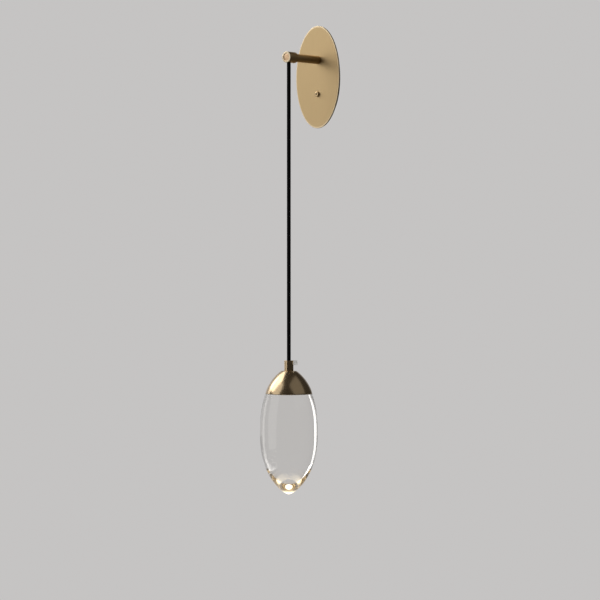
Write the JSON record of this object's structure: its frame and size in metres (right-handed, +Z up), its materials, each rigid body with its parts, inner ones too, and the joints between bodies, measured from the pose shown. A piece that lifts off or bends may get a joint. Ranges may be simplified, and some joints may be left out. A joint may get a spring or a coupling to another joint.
{
  "type": "wall lamp",
  "caption": "Wall lamp with an oval brass plate, a short arm and a solid crystal drop under a brass cap, hung on a black textile cord.",
  "frame": {"origin": "on the wall plane, behind the centre of the oval plate, midway between the two wall slots", "axes": "+Z up along the hanging cord, +Y into the wall, and the lamp stands out of the wall towards -Y"},
  "size_m": [0.084, 0.1297, 0.6834],
  "materials": {
    "plate_brass": "fine satin brass, clear lacquered",
    "arm_brass": "satin turned brass",
    "cap_brass": "brushed brass, turned round its axis",
    "screw_brass": "polished brass plating",
    "contact_brass": "plain machined brass",
    "zinc_steel": "zinc-plated steel",
    "black_coat": "matt black powder coat",
    "black_rubber": "matt moulded rubber",
    "white_nylon": "moulded white plastic",
    "clear_nylon": "clear natural nylon",
    "green_board": "circuit board with solder mask",
    "core_sheath": "silicone sheath, one core brown and one blue",
    "black_textile": "woven black textile sheath",
    "sink_aluminium": "turned aluminium",
    "white_board": "white solder mask on an aluminium core",
    "emitter": "yellow phosphor, lit",
    "clear_gasket": "translucent silicone",
    "crystal": "polished solid crystal, ground on its hidden top"
  },
  "bodies": {
    "wall_side": {"wall_strap": "zinc_steel", "back_box": "black_coat", "wall_plate": "plate_brass", "arm_tube": "arm_brass", "arm_head": "arm_brass", "root_washer": "zinc_steel", "root_nut": "zinc_steel", "plate_screw": "screw_brass", "cable_grommet": "black_rubber", "terminal_block": "white_nylon", "terminal_inserts": "contact_brass", "terminal_screws": "zinc_steel", "earth_screw": "contact_brass", "earth_washer": "zinc_steel", "driver_case": "white_nylon", "driver_cover": "white_nylon", "driver_board": "green_board", "mains_leads": "core_sheath", "cord_cores": "core_sheath", "cord_ferrule": "zinc_steel", "cord_in_head": "black_textile"},
    "bend": {"cord_bend": "black_textile"},
    "cord": {"cord_drop": "black_textile"},
    "pendant": {"cord_grip": "cap_brass", "grip_screw": "clear_nylon", "cap_dome": "cap_brass", "cap_nut": "zinc_steel", "heat_sink": "sink_aluminium", "led_board": "white_board", "led_emitter": "emitter", "led_screws": "zinc_steel", "reflector": "sink_aluminium", "led_leads": "core_sheath", "crystal_collar": "cap_brass", "rim_gasket": "clear_gasket", "crystal": "crystal"}
  },
  "joints": [
    {"name": "swing_out", "type": "hinge", "parent": "wall_side", "child": "bend", "pos_m": [0, -0.0877, 0.015], "axis": [1, 0, 0], "range_deg": [-45, 4.5]},
    {"name": "swing_side", "type": "hinge", "parent": "bend", "child": "cord", "pos_m": [0, -0.0877, 0.015], "axis": [0, 1, 0], "range_deg": [-45, 45]},
    {"name": "cord_twist", "type": "hinge", "parent": "cord", "child": "pendant", "pos_m": [0, -0.0877, -0.4216], "axis": [0, 0, 1], "range_deg": [-180, 180]}
  ]
}
